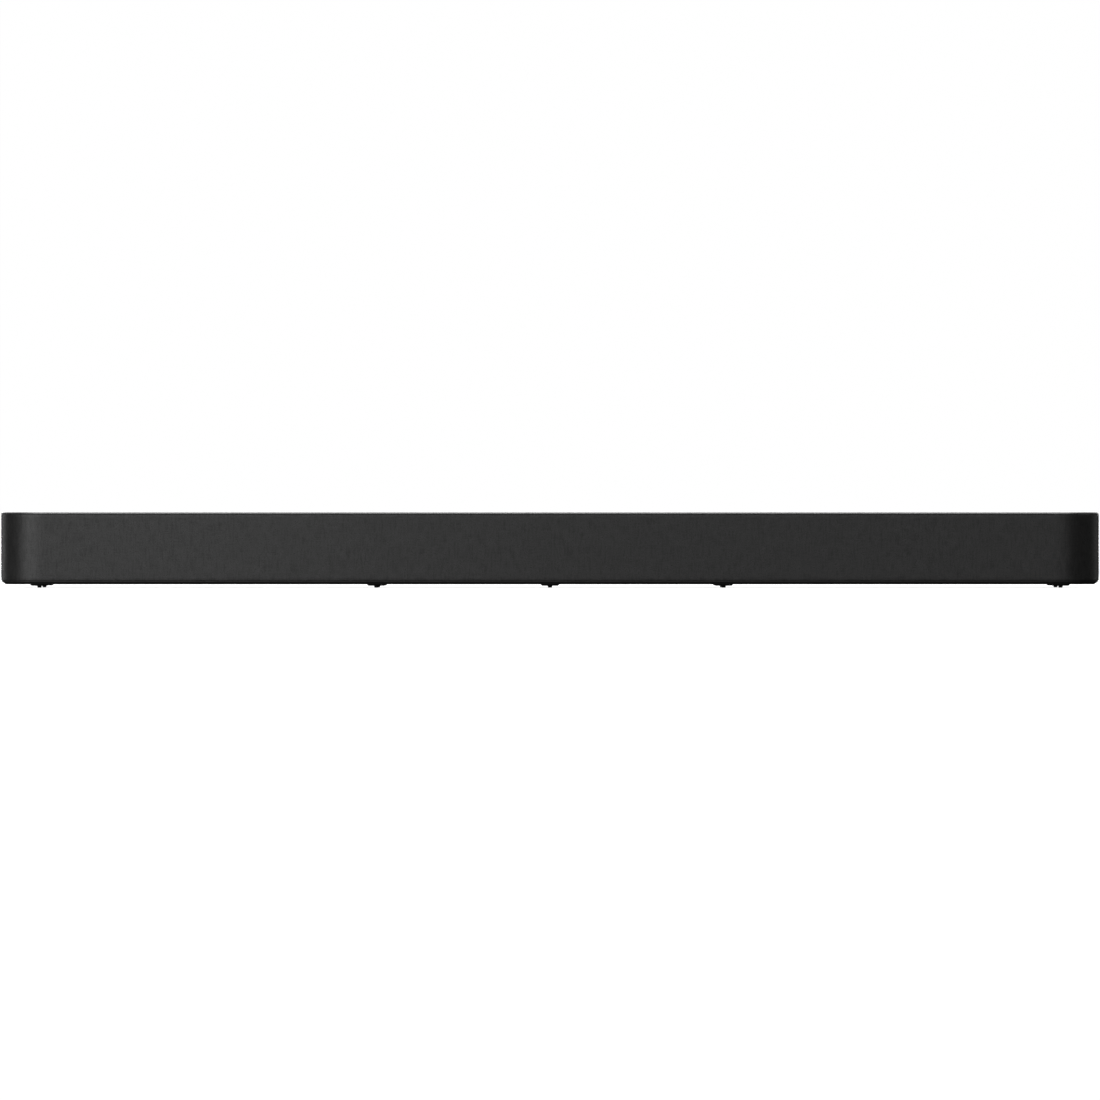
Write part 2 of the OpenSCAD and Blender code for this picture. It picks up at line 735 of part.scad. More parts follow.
// Flat ribbon from under the control board down to its header on the main board
module ribbon_cable() {
    t = 0.3;
    bend = 3;
    drop_y = 24;
    top = control_z - 0.1;
    foot = main_z + board_t + 4.4;
    color("#d8d8d4") translate([14, 0, 0]) rotate([90, 0, 90]) linear_extrude(14) {
        translate([6, top - t]) square([drop_y - bend - 6, t]);
        translate([drop_y - bend, top - t - bend]) intersection() {
            difference() {
                circle(bend + t);
                circle(bend);
            }
            square(bend + t);
        }
        translate([drop_y, foot]) square([t, top - t - bend - foot]);
    }
}

// ---- Leads ----

lead_r = 1.1;
tag_z = axis_z - small[NECK] - 6.2; // just under a front driver's solder tags
// Each route runs from its header on the main board to a driver's terminal
to_left_woofer = [
    [-150, -14.2, 25], [-150, -20, 25], [-150, -24, 20], [-152, -24, 12], [-158, -22, 8.4],
    [-167, -21, 8.2], [-177, -21, 8.2], [-188, -22, 8.2], [-200, -31, 8.6], [-216, -38, 14],
    [-228, -38, 22], [-234, -36, 27], [-woofer_x, -32.4, 29.3]];
to_left_driver = [
    [-141, -14.2, 25], [-141, -20, 25], [-141, -26, 20], [-143, -28, 12], [-150, -28, 8.4],
    [-162, -26.5, 8.2], [-168, -26, 8.2], [-176, -26, 8.2], [-188, -32, 8.2], [-204, -46, 8.2],
    [-240, -47, 8.2], [-305, -36, 8.2], [-340, -36, 8.2], [-372, -42, 8.4],
    [-384, -43, 11], [-driver_x, -40.4, tag_z]];
to_centre_driver = [
    [-132, -14.2, 25], [-132, -20, 25], [-132, -24, 20], [-130, -23, 12], [-122, -20, 8.2],
    [-90, -22, 8.2], [-60, -24, 8.2], [-42, -14, 8.2], [-28, -13, 8.2], [-22, -20, 8.2],
    [-20, -30, 8.2], [-12, -42, 8.6], [-3, -42, 11], [0, -40.4, tag_z]];
to_right_driver = [
    [-114, -14.2, 25], [-114, -19, 25], [-113, -21, 20], [-111, -18, 12], [-104, -8, 8.2],
    [-60, -5, 8.2], [40, -5, 8.2], [140, -8, 8.2], [158, -22, 8.2], [168, -26, 8.2], [176, -26, 8.2],
    [188, -32, 8.2], [204, -46, 8.2], [240, -47, 8.2], [305, -36, 8.2], [340, -36, 8.2],
    [372, -42, 8.4], [384, -43, 11], [driver_x, -40.4, tag_z]];
to_right_woofer = [
    [-123, -14.2, 25], [-123, -19, 25], [-122, -22, 20], [-120, -18, 12], [-113, -3, 8.2],
    [-60, -1, 8.2], [40, -0.8, 8.2], [140, -0.8, 8.2], [156, -12, 8.2], [166, -20, 8.2], [177, -21, 8.2],
    [188, -22, 8.2], [200, -31, 8.6], [216, -38, 14], [228, -38, 22],
    [234, -36, 27], [woofer_x, -32.4, 29.3]];
lead_routes = [to_left_woofer, to_left_driver, to_centre_driver, to_right_driver, to_right_woofer];

function unit(v) = v / norm(v);
// Direction of the route at point i
function heading(route, i) = unit(route[min(i + 1, len(route) - 1)] - route[max(i - 1, 0)]);
// A ring of points round the route at point i, square to it
function ring(route, i, sides) =
    let (along = heading(route, i))
    let (across = unit(cross(along, abs(along[2]) > 0.9 ? [0, 1, 0] : [0, 0, 1])))
    let (up = cross(across, along))
    [for (k = [0:sides - 1]) route[i] + lead_r * (cos(360 * k / sides) * across + sin(360 * k / sides) * up)];
// Catmull-Rom points between the route's own
function eased(p, steps) = concat(
    [for (i = [0:len(p) - 2], s = [0:steps - 1])
        let (a = p[max(i - 1, 0)], b = p[i], c = p[i + 1], e = p[min(i + 2, len(p) - 1)], t = s / steps)
        0.5 * (2 * b + (c - a) * t + (2 * a - 5 * b + 4 * c - e) * pow(t, 2)
            + (3 * b - a - 3 * c + e) * pow(t, 3))],
    [p[len(p) - 1]]);

module lead(route) {
    sides = 8;
    n = len(route);
    points = [for (i = [0:n - 1]) each ring(route, i, sides)];
    walls = [for (i = [0:n - 2], k = [0:sides - 1])
        [i * sides + k, (i + 1) * sides + k, (i + 1) * sides + (k + 1) % sides, i * sides + (k + 1) % sides]];
    ends = [[for (k = [0:sides - 1]) k], [for (k = [0:sides - 1]) (n - 1) * sides + sides - 1 - k]];
    polyhedron(points, concat(walls, ends));
}

module speaker_leads() {
    color("#a83232") for (route = lead_routes) lead(eased(route, 3));
}

// ---- Fasteners ----

module case_screws() {
    color(steel) {
        each_at(case_spots, under_z + 1.6) mirror([0, 0, 1]) screw(3, 1.5, 1.4, 12);
        for (x = rear_screw_x) facing_back(x, back_y - 1.4) screw(3, 1.3, 1.3, 8);
    }
}

module inner_screws() {
    color(steel) {
        each_at(main_posts, main_z + board_t) screw(2.4, 1.4, 1.2, 7);
        each_at(power_posts, power_z + board_t) screw(2.4, 1.4, 1.2, 7);
        each_at(control_posts, control_z) mirror([0, 0, 1]) screw(2.2, 1.4, 1.1, 6);
        for (x = [-driver_x, 0, driver_x])
            facing_front(x, baffle_y - flange_t) each_bolt(small) screw(1.7, 1, 1.1, 4.8);
        each_at([[-woofer_x, 0], [woofer_x, 0]], ring_z - flange_t)
            each_bolt(large) mirror([0, 0, 1]) screw(2.1, 1.3, 1.1, 6);
    }
}

module wall_mount_inserts() {
    color(gold) for (s = [-1, 1])
        facing_front(s * insert_pitch / 2, back_y) tube(insert_out_r, insert_core_r, 10);
}

// ---- Nodes ----

bottom_tray();
top_panel();
rear_panel();
front_baffle();
grille_frame();
grille_fabric();
woofer_grille(-1);  // woofer_grille_left
woofer_grille(1);  // woofer_grille_right
feet(-foot_y);  // front_feet
feet(foot_y);  // rear_feet
button(-2);  // button_power
button(-1);  // button_source
button(0);  // button_play
button(1);  // button_volume_down
button(2);  // button_volume_up
control_board();
tact_switches();
status_lights();
display_board();
led_matrix();
ir_receiver();
for (name = ["left_driver", "centre_driver", "right_driver", "left_woofer", "right_woofer"])
    for (piece = ["basket", "motor", "cone", "surround"])
        driver_piece(name, piece);
driver_piece("left_woofer", "spider");  // left_woofer_spider
driver_piece("right_woofer", "spider");  // right_woofer_spider
port_tube(-1);  // left_port_tube
port_tube(1);  // right_port_tube
plain_board(main_x, main_y, main_z, main_posts);  // main_board
main_board_chips();
heat_sink();
plain_board(power_x, power_y, power_z, power_posts);  // power_board
power_components();
ac_inlet();
hdmi_sockets();
optical_socket();
usb_socket();
ribbon_cable();
speaker_leads();
case_screws();
inner_screws();
wall_mount_inserts();
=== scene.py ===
"""Looks for the soundbar: materials, socket contacts, cloth, symbols, surrounds, spiders, studio.

Units are metres in the CAD frame: +X runs along the bar, the cloth front faces -Y, +Z is up.
"""

import math

import bmesh
import bpy
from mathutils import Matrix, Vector


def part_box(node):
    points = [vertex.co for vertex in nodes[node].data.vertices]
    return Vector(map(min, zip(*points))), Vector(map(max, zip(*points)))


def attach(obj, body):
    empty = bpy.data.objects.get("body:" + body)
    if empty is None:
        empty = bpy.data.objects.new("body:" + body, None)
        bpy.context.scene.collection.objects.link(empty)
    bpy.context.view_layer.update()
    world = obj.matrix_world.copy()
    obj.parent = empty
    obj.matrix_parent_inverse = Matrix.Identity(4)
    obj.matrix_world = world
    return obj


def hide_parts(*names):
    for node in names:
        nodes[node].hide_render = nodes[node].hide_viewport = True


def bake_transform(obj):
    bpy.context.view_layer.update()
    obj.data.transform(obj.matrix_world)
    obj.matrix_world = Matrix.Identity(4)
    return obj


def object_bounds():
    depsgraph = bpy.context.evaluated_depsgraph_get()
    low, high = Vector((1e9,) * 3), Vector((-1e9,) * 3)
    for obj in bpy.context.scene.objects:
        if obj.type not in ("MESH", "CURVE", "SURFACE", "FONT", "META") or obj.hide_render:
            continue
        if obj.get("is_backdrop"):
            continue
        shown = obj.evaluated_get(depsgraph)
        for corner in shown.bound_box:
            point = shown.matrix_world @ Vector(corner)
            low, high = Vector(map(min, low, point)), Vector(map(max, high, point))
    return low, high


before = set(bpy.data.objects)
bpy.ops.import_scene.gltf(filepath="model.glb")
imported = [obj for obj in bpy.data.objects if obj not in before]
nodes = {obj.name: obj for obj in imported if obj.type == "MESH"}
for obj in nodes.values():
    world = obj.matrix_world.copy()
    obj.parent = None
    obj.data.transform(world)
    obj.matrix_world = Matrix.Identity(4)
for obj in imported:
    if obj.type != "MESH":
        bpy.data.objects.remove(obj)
cad_low, cad_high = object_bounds()
scene = bpy.context.scene
MM = 0.001

# ---------------------------------------------------------------- camera

DISTANCE = 8.1          # from the place where the front corners start to curve, to the camera
FRAME_WIDTH = 0.9521    # what the picture shows across at that distance
CORNER_Y = -0.024       # where they start to curve
SENSOR = 36

cam_data = bpy.data.cameras.new("camera")
cam_data.sensor_width = SENSOR
cam_data.lens = SENSOR * DISTANCE / FRAME_WIDTH
cam_data.clip_start = 0.1
cam_data.clip_end = 100
camera = bpy.data.objects.new("camera", cam_data)
scene.collection.objects.link(camera)
camera.location = (0, CORNER_Y - DISTANCE, (cad_low.z + cad_high.z) / 2)
camera.rotation_euler = (math.pi / 2, 0, 0)
scene.camera = camera

# ---------------------------------------------------------------- material tools


class Nodes:
    """Short calls for building a material's node tree."""

    def __init__(self, name):
        self.material = bpy.data.materials.new(name)
        self.material.use_nodes = True
        self.tree = self.material.node_tree
        self.shader = self.tree.nodes["Principled BSDF"]

    def add(self, kind, **values):
        node = self.tree.nodes.new("ShaderNode" + kind)
        for key, value in values.items():
            if key in node.inputs:
                node.inputs[key].default_value = value
            else:
                setattr(node, key, value)
        return node

    def link(self, a, b):
        self.tree.links.new(a, b)

    def set(self, **values):
        """Constants on the shader's own sockets."""
        for key, value in values.items():
            self.shader.inputs[key.replace("_", " ")].default_value = value

    def scaled(self, vector, scale):
        """The vector times a scale on each axis."""
        mapping = self.add("Mapping")
        mapping.inputs["Scale"].default_value = scale
        self.link(vector, mapping.inputs["Vector"])
        return mapping.outputs["Vector"]

    def coords(self, scale=(1, 1, 1)):
        """Object coordinates times a scale on each axis."""
        return self.scaled(self.add("TexCoord").outputs["Object"], scale)

    def noise(self, size, detail=3.0, roughness=0.55, where=None, distortion=0.0):
        """Noise whose features are about this size in metres."""
        node = self.add("TexNoise", Scale=1 / size, Detail=detail, Roughness=roughness,
                        Distortion=distortion)
        self.link(where if where is not None else self.coords(), node.inputs["Vector"])
        return node.outputs["Fac"]

    def math(self, operation, a, b=None):
        node = self.add("Math", operation=operation)
        for socket, value in zip(node.inputs, (a, b)):
            if value is None:
                continue
            if isinstance(value, (int, float)):
                socket.default_value = value
            else:
                self.link(value, socket)
        return node.outputs[0]

    def spread(self, value, low, high, to_low=0.0, to_high=1.0):
        """Maps low..high to to_low..to_high."""
        node = self.add("MapRange")
        node.inputs["From Min"].default_value = low
        node.inputs["From Max"].default_value = high
        node.inputs["To Min"].default_value = to_low
        node.inputs["To Max"].default_value = to_high
        self.link(value, node.inputs["Value"])
        return node.outputs["Result"]

    def mix(self, factor, a, b):
        """A colour between a and b."""
        node = self.add("Mix", data_type="RGBA")
        for socket, value in ((node.inputs[0], factor), (node.inputs[6], a), (node.inputs[7], b)):
            if isinstance(value, tuple):
                socket.default_value = (*value[:3], 1)
            elif isinstance(value, (int, float)):
                socket.default_value = value
            else:
                self.link(value, socket)
        return node.outputs[2]

    def bump(self, height, distance, strength):
        node = self.add("Bump", Strength=strength, Distance=distance)
        self.link(height, node.inputs["Height"])
        return node.outputs["Normal"]

    def finish(self, colour, roughness, normal=None):
        for socket, value in (("Base Color", colour), ("Roughness", roughness), ("Normal", normal)):
            if value is None:
                continue
            if isinstance(value, tuple):
                self.shader.inputs[socket].default_value = (*value[:3], 1)
            elif isinstance(value, (int, float)):
                self.shader.inputs[socket].default_value = value
            else:
                self.link(value, self.shader.inputs[socket])
        return self.material


def grey(value, warm=0.0):
    return (value * (1 + warm), value, value * (1 - warm))


def plastic(name, value, rough, grain=0.00045, depth=0.00003, warm=0.0, patch=0.015):
    """Moulded plastic: a spark-eroded grain and very slight slow changes of tone and gloss."""
    n = Nodes(name)
    fine = n.noise(grain, detail=2.0)
    slow = n.noise(0.12, detail=3.0)
    colour = n.mix(n.spread(slow, 0.3, 0.7), grey(value * 0.98, warm), grey(value * 1.02, warm))
    colour = n.mix(n.spread(fine, 0.3, 0.7, 0.0, 0.12), colour, grey(value * 0.6, warm))
    roughness = n.spread(slow, 0.3, 0.7, rough - patch, rough + patch)
    return n.finish(colour, roughness, n.bump(fine, depth, 0.5))


def metal(name, colour, rough, grain=(0.004, 0.004, 0.0004), depth=0.00001):
    """Bare or plated metal with fine drawn lines."""
    n = Nodes(name)
    n.set(Metallic=1.0)
    lines = n.noise(1.0, detail=3.0, where=n.coords(scale=tuple(1 / g for g in grain)))
    slow = n.noise(0.01, detail=3.0)
    shade = tuple(c * 0.86 for c in colour)
    tone = n.mix(n.spread(slow, 0.3, 0.7), shade, colour)
    return n.finish(tone, n.spread(lines, 0.3, 0.7, rough - 0.07, rough + 0.07),
                    n.bump(lines, depth, 0.4))


def cloth_material():
    """Acoustic cloth: a plain weave of slightly uneven yarns, in metres along the bar (U) and up (V)."""
    n = Nodes("acoustic_cloth")
    pitch = 0.0008
    uv = n.add("TexCoord").outputs["UV"]
    split = n.add("SeparateXYZ")
    n.link(uv, split.inputs[0])
    u, v = split.outputs[0], split.outputs[1]
    slub = n.noise(1.0, detail=3.0, where=n.scaled(uv, (1 / 0.0016, 1 / 0.012, 1)))
    weft = n.noise(1.0, detail=2.0, where=n.scaled(uv, (1 / 0.012, 1 / 0.0014, 1)))
    fleck = n.noise(1.0, detail=1.0, where=n.scaled(uv, (1 / 0.0008, 1 / 0.001, 1)))
    patch = n.noise(1.0, detail=2.0, where=n.scaled(uv, (1 / 0.006, 1 / 0.009, 1)))
    wave_u = n.math("SINE", n.math("MULTIPLY", u, math.pi / pitch))
    wave_v = n.math("SINE", n.math("MULTIPLY", v, math.pi / pitch))
    over = n.spread(n.math("MULTIPLY", wave_u, wave_v), -0.25, 0.25)
    warp = n.math("ABSOLUTE", wave_u)
    fill = n.math("ABSOLUTE", wave_v)
    height = n.math("ADD", n.math("MULTIPLY", warp, over),
                    n.math("MULTIPLY", fill, n.math("SUBTRACT", 1.0, over)))
    height = n.math("ADD", height, n.math("MULTIPLY", slub, 0.12))
    tone = n.math("ADD", n.math("MULTIPLY", slub, 0.36), n.math("MULTIPLY", weft, 0.18))
    tone = n.math("ADD", tone, n.math("MULTIPLY", fleck, 0.36))
    tone = n.math("ADD", tone, n.math("MULTIPLY", patch, 0.1))
    yarn = n.mix(n.spread(tone, 0.4, 0.6), grey(0.029), grey(0.067))
    # Darker where the weave is low, between the yarns: painted shade in its hollows
    weave_hollow_shade = n.spread(height, 0.15, 0.55)
    colour = n.mix(weave_hollow_shade, grey(0.012), yarn)
    n.set(Specular_IOR_Level=0.5)
    return n.finish(colour, n.spread(tone, 0.4, 0.6, 0.38, 0.26), n.bump(height, 0.0001, 0.4))


def rubber(name, value, rough=0.75):
    n = Nodes(name)
    fine = n.noise(0.0006, detail=4.0)
    slow = n.noise(0.006, detail=3.0)
    colour = n.mix(n.spread(slow, 0.3, 0.7), grey(value * 0.8), grey(value * 1.25))
    return n.finish(colour, n.spread(fine, 0.3, 0.7, rough - 0.08, rough + 0.08),
                    n.bump(fine, 0.00002, 0.5))


def pulp(name, value):
    """Pressed fibre cone: long soft fibres over a fine speckle."""
    n = Nodes(name)
    fibre = n.noise(0.0018, detail=6.0, roughness=0.7, distortion=1.5)
    speck = n.noise(0.0004, detail=2.0)
    colour = n.mix(n.spread(fibre, 0.35, 0.7), grey(value * 0.7), grey(value * 1.5))
    height = n.math("ADD", fibre, n.math("MULTIPLY", speck, 0.4))
    return n.finish(colour, 0.8, n.bump(height, 0.00012, 0.6))


def circuit_board():
    """Green solder mask over copper lines, with a grid of plated holes."""
    n = Nodes("circuit_board")
    where = n.coords()
    lines = n.add("TexBrick", Scale=1.0)
    lines.inputs["Brick Width"].default_value = 0.0062
    lines.inputs["Row Height"].default_value = 0.0016
    lines.inputs["Mortar Size"].default_value = 0.00022
    lines.inputs["Color1"].default_value = (0, 0, 0, 1)
    lines.inputs["Color2"].default_value = (0, 0, 0, 1)
    lines.inputs["Mortar"].default_value = (1, 1, 1, 1)
    n.link(where, lines.inputs["Vector"])
    pads = n.add("TexVoronoi", Scale=1 / 0.0042)
    n.link(where, pads.inputs["Vector"])
    pad = n.spread(pads.outputs["Distance"], 0.16, 0.12)
    green = n.mix(lines.outputs["Color"], (0.012, 0.075, 0.032), (0.03, 0.16, 0.07))
    colour = n.mix(pad, green, (0.62, 0.52, 0.3))
    return n.finish(colour, 0.35, n.bump(lines.outputs["Color"], 0.00004, 0.5))


def plain(name, colour, rough, grain=0.0008, depth=0.00001):
    """A small part's own colour, slightly mottled."""
    n = Nodes(name)
    speck = n.noise(grain, detail=3.0)
    low = tuple(c * 0.88 for c in colour)
    return n.finish(n.mix(n.spread(speck, 0.3, 0.7), low, colour), rough, n.bump(speck, depth, 0.4))


def frosted():
    n = Nodes("light_pipe")
    haze = n.noise(0.0005, detail=2.0)
    n.set(Subsurface_Weight=0.3)
    n.set(Subsurface_Scale=0.001)
    colour = n.mix(n.spread(haze, 0.3, 0.7), grey(0.5), grey(0.66))
    return n.finish(colour, 0.35, n.bump(haze, 0.00001, 0.3))


def spider_cloth():
    """Resin-dipped cotton: an amber weave."""
    n = Nodes("spider_cloth")
    where = n.coords(scale=(1 / 0.0006, 1 / 0.0006, 1 / 0.0006))
    check = n.add("TexChecker", Scale=1.0)
    n.link(where, check.inputs["Vector"])
    slow = n.noise(0.004, detail=3.0)
    tone = n.mix(n.spread(slow, 0.3, 0.7), (0.42, 0.24, 0.07), (0.62, 0.4, 0.16))
    return n.finish(tone, 0.6, n.bump(check.outputs["Fac"], 0.00008, 0.6))


CLOTH = cloth_material()
CASE = plastic("case_plastic", 0.028, 0.55)
TRAY = plastic("tray_plastic", 0.042, 0.5)
LID = plastic("lid_plastic", 0.06, 0.34, grain=0.0003, depth=0.000015)
BUTTON = plastic("button_plastic", 0.04, 0.38, grain=0.0003, depth=0.000012)
FRAME = plastic("frame_plastic", 0.015, 0.7)
BAFFLE = plastic("baffle_board", 0.03, 0.75, grain=0.0009, depth=0.00006, warm=0.1)
PORT = plastic("port_plastic", 0.018, 0.4, grain=0.0005)
GRILLE = plastic("grille_coat", 0.02, 0.5, grain=0.0006, depth=0.00002)
RUBBER = rubber("foot_rubber", 0.014)
SURROUND = rubber("surround_rubber", 0.012, 0.5)
CONE = pulp("cone_pulp", 0.03)
SPIDER = spider_cloth()
STEEL = metal("plated_steel", (0.56, 0.56, 0.55), 0.35)
SCREW = metal("black_zinc", (0.16, 0.16, 0.17), 0.38, grain=(0.002, 0.002, 0.0003))
BASKET = plastic("basket_paint", 0.02, 0.45, grain=0.0006)
FERRITE = plain("ferrite", (0.05, 0.05, 0.055), 0.6, grain=0.0012, depth=0.00004)
COPPER = metal("coil_wire", (0.75, 0.33, 0.16), 0.3, grain=(0.01, 0.01, 0.0002), depth=0.00005)
ALUMINIUM = metal("bead_blasted_aluminium", (0.7, 0.71, 0.72), 0.5, grain=(0.0006, 0.0006, 0.0006),
                  depth=0.00003)
TIN = metal("tinned_shell", (0.72, 0.72, 0.7), 0.32, grain=(0.0004, 0.002, 0.0004), depth=0.000002)
GOLD = metal("contact_gold", (0.85, 0.62, 0.26), 0.25)
BRASS = metal("machined_brass", (0.72, 0.5, 0.2), 0.3, grain=(0.003, 0.0003, 0.003), depth=0.00002)
BOARD = circuit_board()
CHIP = plain("chip_epoxy", (0.03, 0.03, 0.033), 0.6)
NYLON = plain("header_nylon", (0.7, 0.68, 0.6), 0.5)
SLEEVE = plain("capacitor_sleeve", (0.02, 0.022, 0.03), 0.3)
YELLOW = plain("transformer_tape", (0.62, 0.42, 0.04), 0.4)
SOCKET = plastic("socket_plastic", 0.016, 0.5)
TONGUE = plain("socket_tongue", (0.02, 0.02, 0.021), 0.5)
# Near-black paint for the recess floors under the grilles: painted shade to match the dark openings
RECESS_SHADE = plain("painted_recess_shade", (0.004, 0.004, 0.004), 0.95, grain=0.0004)
DISPLAY = plastic("display_face", 0.01, 0.18, grain=0.002, depth=0.000005)
IR = plain("ir_window", (0.05, 0.006, 0.008), 0.15)
RIBBON = plain("ribbon", (0.7, 0.7, 0.66), 0.4)
LEAD = rubber("lead_skin", 0.03, 0.45)
PIPE = frosted()
INK = plain("printed_ink", (0.4, 0.4, 0.41), 0.5)
LABEL = plain("blank_label", (0.3, 0.3, 0.305), 0.4, grain=0.0004)

# ---------------------------------------------------------------- CAD nodes

DRIVERS = ["left_driver", "centre_driver", "right_driver", "left_woofer", "right_woofer"]
BUTTONS = ["power", "source", "play", "volume_down", "volume_up"]
LOOKS = {
    "bottom_tray": TRAY, "rear_panel": CASE, "top_panel": LID, "front_baffle": BAFFLE, "grille_frame": FRAME,
    "woofer_grille_left": GRILLE, "woofer_grille_right": GRILLE, "front_feet": RUBBER, "rear_feet": RUBBER,
    "control_board": BOARD, "display_board": BOARD, "main_board": BOARD, "power_board": BOARD,
    "tact_switches": CHIP, "status_lights": PIPE, "led_matrix": DISPLAY, "ir_receiver": IR,
    "left_port_tube": PORT, "right_port_tube": PORT, "main_board_chips": CHIP, "heat_sink": ALUMINIUM,
    "power_components": YELLOW, "ac_inlet": SOCKET, "hdmi_sockets": TIN, "optical_socket": SOCKET,
    "usb_socket": TIN, "ribbon_cable": RIBBON, "speaker_leads": LEAD, "case_screws": SCREW,
    "inner_screws": SCREW, "wall_mount_inserts": BRASS,
}
for name in BUTTONS:
    LOOKS["button_" + name] = BUTTON
for name in DRIVERS:
    LOOKS[name + "_basket"] = BASKET
    LOOKS[name + "_motor"] = STEEL
    LOOKS[name + "_cone"] = CONE
for name, look in LOOKS.items():
    nodes[name].data.materials.clear()
    nodes[name].data.materials.append(look)


def repaint(node, look, test):
    """Gives a second material to the faces of a CAD node whose centre passes the test."""
    mesh = nodes[node].data
    mesh.materials.append(look)
    index = len(mesh.materials) - 1
    for face in mesh.polygons:
        if test(face.center, face.normal):
            face.material_index = index


def pieces_of(node):
    """The separate solids inside a CAD node: for each, its faces and its low and high corners."""
    mesh = nodes[node].data
    spots, owner = {}, list(range(len(mesh.polygons)))

    def root(i):
        while owner[i] != i:
            owner[i] = owner[owner[i]]
            i = owner[i]
        return i

    for face in mesh.polygons:
        for v in face.vertices:
            key = tuple(round(c * 1e5) for c in mesh.vertices[v].co)
            owner[root(face.index)] = root(spots.setdefault(key, face.index))
    groups = {}
    for face in mesh.polygons:
        groups.setdefault(root(face.index), []).append(face)
    out = []
    for faces in groups.values():
        points = [mesh.vertices[v].co for face in faces for v in face.vertices]
        low = Vector([min(p[i] for p in points) for i in range(3)])
        high = Vector([max(p[i] for p in points) for i in range(3)])
        out.append((faces, low, high))
    return out


CAN_FACES = 24          # a can is round, so it has more faces than any block
TALL, MIDDLING = 0.012, 0.0045


def paint_components(node, looks):
    """Cans get a dark sleeve and a bright top; a block's look goes by how tall it is."""
    mesh = nodes[node].data
    mesh.materials.clear()
    for look in [SLEEVE, ALUMINIUM] + looks:
        mesh.materials.append(look)
    for faces, low, high in pieces_of(node):
        is_can = len(faces) > CAN_FACES
        height = high.z - low.z
        block = 2 + (0 if height > TALL else 1 if height > MIDDLING else 2)
        for face in faces:
            face.material_index = (1 if face.normal.z > 0.9 else 0) if is_can else block


paint_components("power_components", [YELLOW, NYLON, CHIP])
paint_components("main_board_chips", [CHIP, NYLON, CHIP])

# Painted shade, near black, on the floors of the lid's two recesses under the grilles, and a blank label on
# the floor of the one in the base
RECESS_GAP = 0.001      # from a woofer grille to just past the wall of its recess
lid_top = cad_high.z
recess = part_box("woofer_grille_left")
recess_x = abs(recess[0].x + recess[1].x) / 2
recess_w = (recess[1].x - recess[0].x) / 2 + RECESS_GAP
recess_d = recess[1].y + RECESS_GAP
repaint("top_panel", RECESS_SHADE, lambda c, n: n.z > 0.9 and lid_top - 0.0009 < c.z < lid_top - 0.0007
        and abs(abs(c.x) - recess_x) < recess_w and abs(c.y) < recess_d)
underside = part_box("bottom_tray")[0].z
repaint("bottom_tray", LABEL, lambda c, n: n.z < -0.9 and underside + 0.0002 < c.z < underside + 0.0004)

# The inlet's pins and the sockets' tongues are joined to their blocks, so they are found by their places
PIN_APART = 0.0043      # from the middle of the inlet to each pin
PIN_UP = 0.0078         # from its underside to the pins
PIN_REACH = 0.00125     # a little more than a pin's radius
PIN_ROOT = 0.0051       # from its inner end to just past the floor of its hollow
TONGUE_UP = {"hdmi_sockets": 0.0031, "usb_socket": 0.0043}
TONGUE_HALF = 0.0006    # half a tongue's thickness
TONGUE_ROOT = 0.0021    # from a socket's inner end to just past the tongue's root
TONGUE_INSET = 0.002    # from a socket's sides and mouth to the tongue
SLACK = 0.00005
inlet_low, inlet_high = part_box("ac_inlet")
inlet_x = (inlet_low.x + inlet_high.x) / 2
pin_z = inlet_low.z + PIN_UP
repaint("ac_inlet", STEEL, lambda c, n: c.y > inlet_low.y + PIN_ROOT
        and math.hypot(abs(c.x - inlet_x) - PIN_APART, c.z - pin_z) < PIN_REACH)
tongues = {}
for node, up in TONGUE_UP.items():
    nodes[node].data.materials.append(TONGUE)
    tongues[node] = []
    for faces, low, high in pieces_of(node):
        tongue_low = Vector((low.x + TONGUE_INSET, low.y + TONGUE_ROOT, low.z + up - TONGUE_HALF))
        tongue_high = Vector((high.x - TONGUE_INSET, high.y - TONGUE_INSET, low.z + up + TONGUE_HALF))
        tongues[node].append((tongue_low, tongue_high))
        for face in faces:
            if all(tongue_low[i] - SLACK < face.center[i] < tongue_high[i] + SLACK for i in range(3)):
                face.material_index = 1

# ---------------------------------------------------------------- mesh tools


def add_object(name, verts, faces, look, body, smooth=True, uvs=None):
    mesh = bpy.data.meshes.new(name)
    mesh.from_pydata([tuple(v) for v in verts], [], faces)
    mesh.validate()
    bm = bmesh.new()
    bm.from_mesh(mesh)
    bmesh.ops.recalc_face_normals(bm, faces=bm.faces)
    bm.to_mesh(mesh)
    bm.free()
    for face in mesh.polygons:
        face.use_smooth = smooth
    if uvs:
        layer = mesh.uv_layers.new(name="UVMap")
        for loop in mesh.loops:
            layer.data[loop.index].uv = uvs[loop.vertex_index]
    mesh.materials.append(look)
    o = bpy.data.objects.new(name, mesh)
    scene.collection.objects.link(o)
    if body:
        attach(o, body)
    return o


def revolve(profile, place, steps=96):
    """A closed (r, z) profile turned about its own Z axis, as vertices and faces.

    place maps each point to the frame.
    """
    verts, faces = [], []
    count = len(profile)
    for i in range(steps):
        a = 2 * math.pi * i / steps
        verts += [place(r * math.cos(a), r * math.sin(a), z) for r, z in profile]
    for i in range(steps):
        j = (i + 1) % steps
        faces += [(i * count + k, j * count + k, j * count + (k + 1) % count, i * count + (k + 1) % count)
                  for k in range(count)]
    return verts, faces


def boxes(name, spans, look, body):
    """One piece made of plain boxes, each from a low corner to a high one."""
    verts, faces = [], []
    for low, high in spans:
        base = len(verts)
        verts += [(x, y, z) for x in (low[0], high[0]) for y in (low[1], high[1]) for z in (low[2], high[2])]
        faces += [tuple(base + i for i in face) for face in (
            (0, 1, 3, 2), (4, 6, 7, 5), (0, 4, 5, 1), (2, 3, 7, 6), (0, 2, 6, 4), (1, 5, 7, 3))]
    o = add_object(name, verts, faces, look, body, smooth=False)


# ---------------------------------------------------------------- contacts in the sockets

